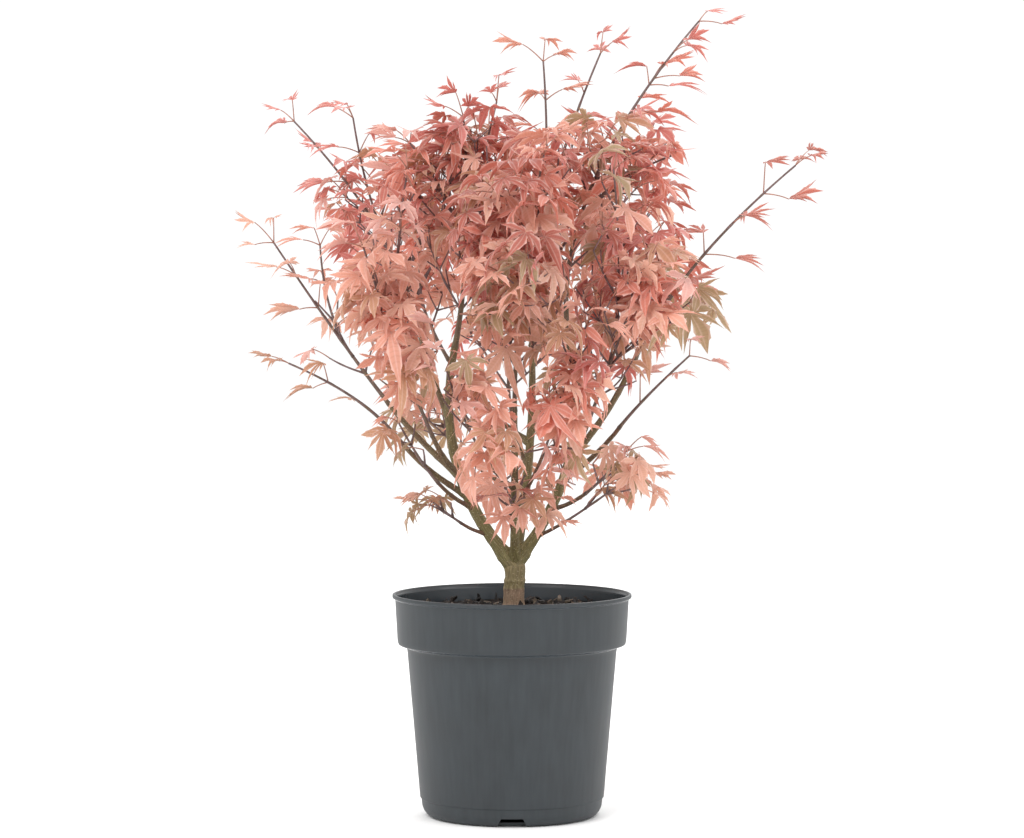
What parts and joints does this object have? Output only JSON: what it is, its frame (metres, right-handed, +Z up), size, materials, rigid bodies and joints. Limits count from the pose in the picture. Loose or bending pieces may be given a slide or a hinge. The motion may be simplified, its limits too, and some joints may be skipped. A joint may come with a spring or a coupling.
{
  "type": "potted japanese maple",
  "caption": "Young japanese maple with a short trunk, forked boughs and a spreading coral-red crown, rooted in soil in a tapered round nursery pot with a deep rim band.",
  "frame": {"origin": "centre of the pot's flat underside, on the pot's axis", "axes": "+Z up along the pot's axis, -Y towards the front of the plant as pictured, +X to the right as seen from the front"},
  "size_m": [0.4672, 0.4011, 0.6369],
  "materials": {
    "pot": "matt dark grey injection-moulded plastic with a faint sheen",
    "soil": "moist dark potting soil with bark chips",
    "bark": "smooth olive-brown young bark with pale lenticels",
    "foliage": "thin matt leaves, coral red to salmon and peach"
  },
  "bodies": {
    "root": {"pot": "pot", "soil": "soil", "trunk": "bark", "left_bough": "bark", "right_bough": "bark", "back_bough": "bark", "front_bough": "bark", "low_left_bough": "bark", "far_left_low_bough": "bark", "far_left_bough": "bark", "upper_left_bough": "bark", "front_left_bough": "bark", "low_right_bough": "bark", "right_low_bough": "bark", "far_right_bough": "bark", "front_right_bough": "bark", "low_back_bough": "bark", "far_back_bough": "bark", "back_left_bough": "bark", "back_right_bough": "bark", "low_front_bough": "bark", "inner_left_bough": "bark", "inner_right_bough": "bark", "inner_front_bough": "bark", "inner_front_left_bough": "bark", "inner_back_bough": "bark", "top_left_foliage": "foliage", "top_foliage": "foliage", "top_right_foliage": "foliage", "front_foliage": "foliage", "low_left_foliage": "foliage", "far_left_low_foliage": "foliage", "far_left_foliage": "foliage", "upper_left_foliage": "foliage", "front_left_foliage": "foliage", "low_right_foliage": "foliage", "right_low_foliage": "foliage", "far_right_foliage": "foliage", "front_right_foliage": "foliage", "low_back_foliage": "foliage", "far_back_foliage": "foliage", "back_left_foliage": "foliage", "back_right_foliage": "foliage", "low_front_foliage": "foliage", "inner_left_foliage": "foliage", "inner_right_foliage": "foliage", "inner_front_foliage": "foliage", "inner_front_left_foliage": "foliage", "inner_back_foliage": "foliage"}
  },
  "joints": []
}
